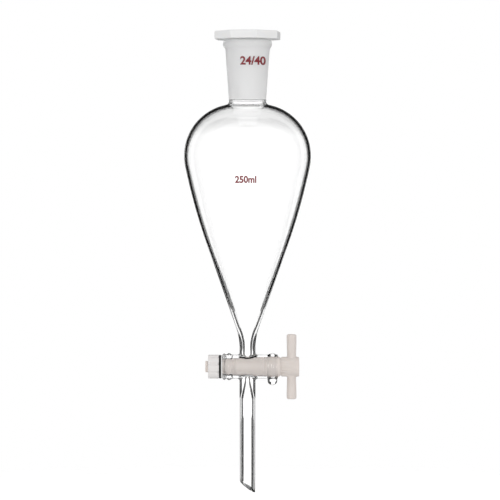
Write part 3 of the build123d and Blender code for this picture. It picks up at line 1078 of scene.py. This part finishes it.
def floor():
    """A pale floor that shows the shadow and fades into the backdrop."""
    bpy.ops.object.select_all(action="DESELECT")
    bpy.ops.mesh.primitive_grid_add(x_subdivisions=8, y_subdivisions=8, size=3, location=(0, 0, FLOOR))
    made = bpy.context.object
    made.name = "floor"
    material, tree, out = new_material("floor_white")
    shader = node(tree, "ShaderNodeBsdfDiffuse", (0, 0))
    shader.inputs["Color"].default_value = (0.93, 0.93, 0.93, 1)
    clear = node(tree, "ShaderNodeBsdfTransparent", (0, -200))
    where = node(tree, "ShaderNodeTexCoord", (-800, 0))
    length = node(tree, "ShaderNodeVectorMath", (-600, 0), operation="LENGTH")
    reach = node(tree, "ShaderNodeMapRange", (-400, 0), interpolation_type="SMOOTHSTEP")
    reach.inputs["From Min"].default_value = 0.12
    reach.inputs["From Max"].default_value = 0.5
    mix = node(tree, "ShaderNodeMixShader", (600, 0))
    path = node(tree, "ShaderNodeLightPath", (-400, 300))
    lift = node(tree, "ShaderNodeMath", (-200, 300), operation="MULTIPLY")
    lift.inputs[1].default_value = 0.3
    glow = node(tree, "ShaderNodeEmission", (0, 200))
    total = node(tree, "ShaderNodeAddShader", (300, 100))
    tree.links.new(path.outputs["Is Camera Ray"], lift.inputs[0])
    tree.links.new(lift.outputs["Value"], glow.inputs["Strength"])
    tree.links.new(glow.outputs["Emission"], total.inputs[0])
    tree.links.new(shader.outputs["BSDF"], total.inputs[1])
    tree.links.new(where.outputs["Object"], length.inputs[0])
    tree.links.new(length.outputs["Value"], reach.inputs["Value"])
    tree.links.new(reach.outputs["Result"], mix.inputs["Fac"])
    tree.links.new(total.outputs["Shader"], mix.inputs[1])
    tree.links.new(clear.outputs["BSDF"], mix.inputs[2])
    tree.links.new(mix.outputs["Shader"], out.inputs["Surface"])
    made.data.materials.append(material)
    made.visible_transmission = False
    made.visible_glossy = False
    return made


def card_material(name, strength, top=None):
    """A lit or dark card; on what a dull surface sends out it has the level of the room.

    A card may fade to another strength towards its top."""
    material, tree, out = new_material(name)
    path = node(tree, "ShaderNodeLightPath", (-600, 300))
    deep = node(tree, "ShaderNodeMath", (-400, 300), operation="GREATER_THAN")
    deep.inputs[1].default_value = 0.5
    mix = node(tree, "ShaderNodeMix", (-200, 0), data_type="FLOAT")
    mix.inputs["A"].default_value = strength
    mix.inputs["B"].default_value = AMBIENT
    shader = node(tree, "ShaderNodeEmission", (0, 0))
    if top is not None:
        where = node(tree, "ShaderNodeTexCoord", (-800, -200))
        parts = node(tree, "ShaderNodeSeparateXYZ", (-600, -200))
        fade = node(tree, "ShaderNodeMapRange", (-400, -200), interpolation_type="SMOOTHSTEP")
        fade.inputs["From Min"].default_value = FADE_LOW * MM
        fade.inputs["From Max"].default_value = FADE_HIGH * MM
        fade.inputs["To Min"].default_value = strength
        fade.inputs["To Max"].default_value = top
        tree.links.new(where.outputs["Object"], parts.inputs["Vector"])
        tree.links.new(parts.outputs["Z"], fade.inputs["Value"])
        tree.links.new(fade.outputs["Result"], mix.inputs["A"])
    tree.links.new(path.outputs["Diffuse Depth"], deep.inputs[0])
    tree.links.new(deep.outputs["Value"], mix.inputs["Factor"])
    tree.links.new(mix.outputs["Result"], shader.inputs["Strength"])
    tree.links.new(shader.outputs["Emission"], out.inputs["Surface"])
    return material


def card(name, rows, back, material, eye, glossy, transmission):
    """A card behind the funnel, which only glass and gloss show; it keeps its place before the camera."""
    half, low = rows[0]
    high = rows[1][1]
    bpy.ops.object.select_all(action="DESELECT")
    place = (0, back * MM, (low + high) / 2 * MM)
    bpy.ops.mesh.primitive_plane_add(size=2 * half * MM, location=place, rotation=(pi / 2, 0, 0))
    made = bpy.context.object
    made.name = name
    bpy.ops.object.transform_apply(location=True, rotation=True, scale=False)
    edit(made)
    bpy.ops.mesh.select_all(action="SELECT")
    bpy.ops.transform.resize(value=(1, 1, (high - low) / 2 / half), center_override=place)
    top = high
    for width, height in rows[2:]:
        pick(made, "edges", lambda edge: min(v.co.z for v in edge.verts) > (top - 0.01) * MM)
        bpy.ops.mesh.extrude_edges_move(TRANSFORM_OT_translate={"value": (0, 0, (height - top) * MM)})
        bpy.ops.transform.resize(value=(width / half, 1, 1), center_override=(0, back * MM, height * MM))
        half, top = width, height
    close_edit()
    made.data.materials.append(material)
    made.visible_camera = False
    made.visible_diffuse = False
    made.visible_shadow = False
    made.visible_glossy = glossy
    made.visible_transmission = transmission
    made.parent = eye
    made.matrix_parent_inverse = eye.matrix_world.inverted()
    return made


def cards(eye):
    """A lit card cut a little wider than the funnel, in front of dark cloth, so that its edges show."""
    lit = card_material("lit_card", 1.18, 0.9)
    dark = card_material("dark_cloth", 0.01)
    card("lit_card", LIT_CARD, CARD_BACK, lit, eye, False, True)
    card("dark_cloth", [(700, -700), (700, 650)], CARD_BACK + 2, dark, eye, False, True)
    card("dark_frame", [(150, -300), (150, 220)], CARD_BACK + 2, dark, eye, True, False)


def world():
    """White behind the object; softer on dull surfaces."""
    made = bpy.data.worlds.new("studio")
    made.use_nodes = True
    tree = made.node_tree
    tree.nodes.clear()
    out = node(tree, "ShaderNodeOutputWorld", (600, 0))
    path = node(tree, "ShaderNodeLightPath", (-600, 0))
    seen = node(tree, "ShaderNodeMath", (-400, 0), operation="MAXIMUM")
    sharp = node(tree, "ShaderNodeMath", (-200, 0), operation="MAXIMUM")
    mix = node(tree, "ShaderNodeMix", (0, 0), data_type="FLOAT")
    back = node(tree, "ShaderNodeBackground", (300, 0))
    back.inputs["Color"].default_value = (1, 1, 1, 1)
    tree.links.new(path.outputs["Is Camera Ray"], seen.inputs[0])
    tree.links.new(path.outputs["Is Glossy Ray"], seen.inputs[1])
    tree.links.new(seen.outputs["Value"], sharp.inputs[0])
    tree.links.new(path.outputs["Is Transmission Ray"], sharp.inputs[1])
    deep = node(tree, "ShaderNodeMath", (-200, -200), operation="LESS_THAN")
    deep.inputs[1].default_value = 0.5
    both = node(tree, "ShaderNodeMath", (-100, 0), operation="MULTIPLY")
    tree.links.new(path.outputs["Diffuse Depth"], deep.inputs[0])
    tree.links.new(sharp.outputs["Value"], both.inputs[0])
    tree.links.new(deep.outputs["Value"], both.inputs[1])
    tree.links.new(both.outputs["Value"], mix.inputs["Factor"])
    where = node(tree, "ShaderNodeTexCoord", (-1000, -400))
    parts = node(tree, "ShaderNodeSeparateXYZ", (-800, -400))
    ceiling = node(tree, "ShaderNodeMapRange", (-600, -400), interpolation_type="SMOOTHSTEP")
    ceiling.inputs["From Min"].default_value = 0.3
    ceiling.inputs["From Max"].default_value = 0.95
    ceiling.inputs["To Min"].default_value = 1.0
    ceiling.inputs["To Max"].default_value = CEILING
    sky = node(tree, "ShaderNodeMix", (-200, -400), data_type="FLOAT")
    sky.inputs["B"].default_value = 1.0
    tree.links.new(where.outputs["Generated"], parts.inputs["Vector"])
    tree.links.new(parts.outputs["Z"], ceiling.inputs["Value"])
    tree.links.new(path.outputs["Is Camera Ray"], sky.inputs["Factor"])
    tree.links.new(ceiling.outputs["Result"], sky.inputs["A"])
    tree.links.new(sky.outputs["Result"], mix.inputs["B"])
    mix.inputs["A"].default_value = AMBIENT
    tree.links.new(mix.outputs["Result"], back.inputs["Strength"])
    tree.links.new(back.outputs["Background"], out.inputs["Surface"])
    bpy.context.scene.world = made


def lamp(name, place, size, power):
    """A soft box that faces the object."""
    data = bpy.data.lights.new(name, "AREA")
    data.shape = "RECTANGLE"
    data.size, data.size_y = size
    data.energy = power
    made = bpy.data.objects.new(name, data)
    bpy.context.collection.objects.link(made)
    made.location = Vector(place)
    made.rotation_euler = (made.location - LOOK).to_track_quat("Z", "Y").to_euler()
    made.visible_camera = False
    made.visible_transmission = False
    return made


CARD_BACK = 100
FADE_LOW = 57
FADE_HIGH = 72
LIT_CARD = [
    (33, -240),
    (33, -122),
    (58, -117),
    (58, -94),
    (35, -80),
    (36, -60),
    (45, -20),
    (57, 20),
    (63, 39),
    (61, 52),
    (54, 66),
    (44, 80),
    (31, 88),
    (17, 93),
    (16, 160),
]
AMBIENT = 0.75
CEILING = 0.35

eye = camera()
bpy.context.view_layer.update()
cards(eye)
floor()
world()
lamp("left_front", (-0.9, -1.75, 0.15), (0.4, 1.0), 5)
lamp("right_front", (0.9, -1.75, 0.15), (0.4, 1.0), 5)
lamp("top", (0, -0.3, 1.9), (0.8, 0.8), 3)
bpy.context.scene.view_settings.view_transform = "Standard"
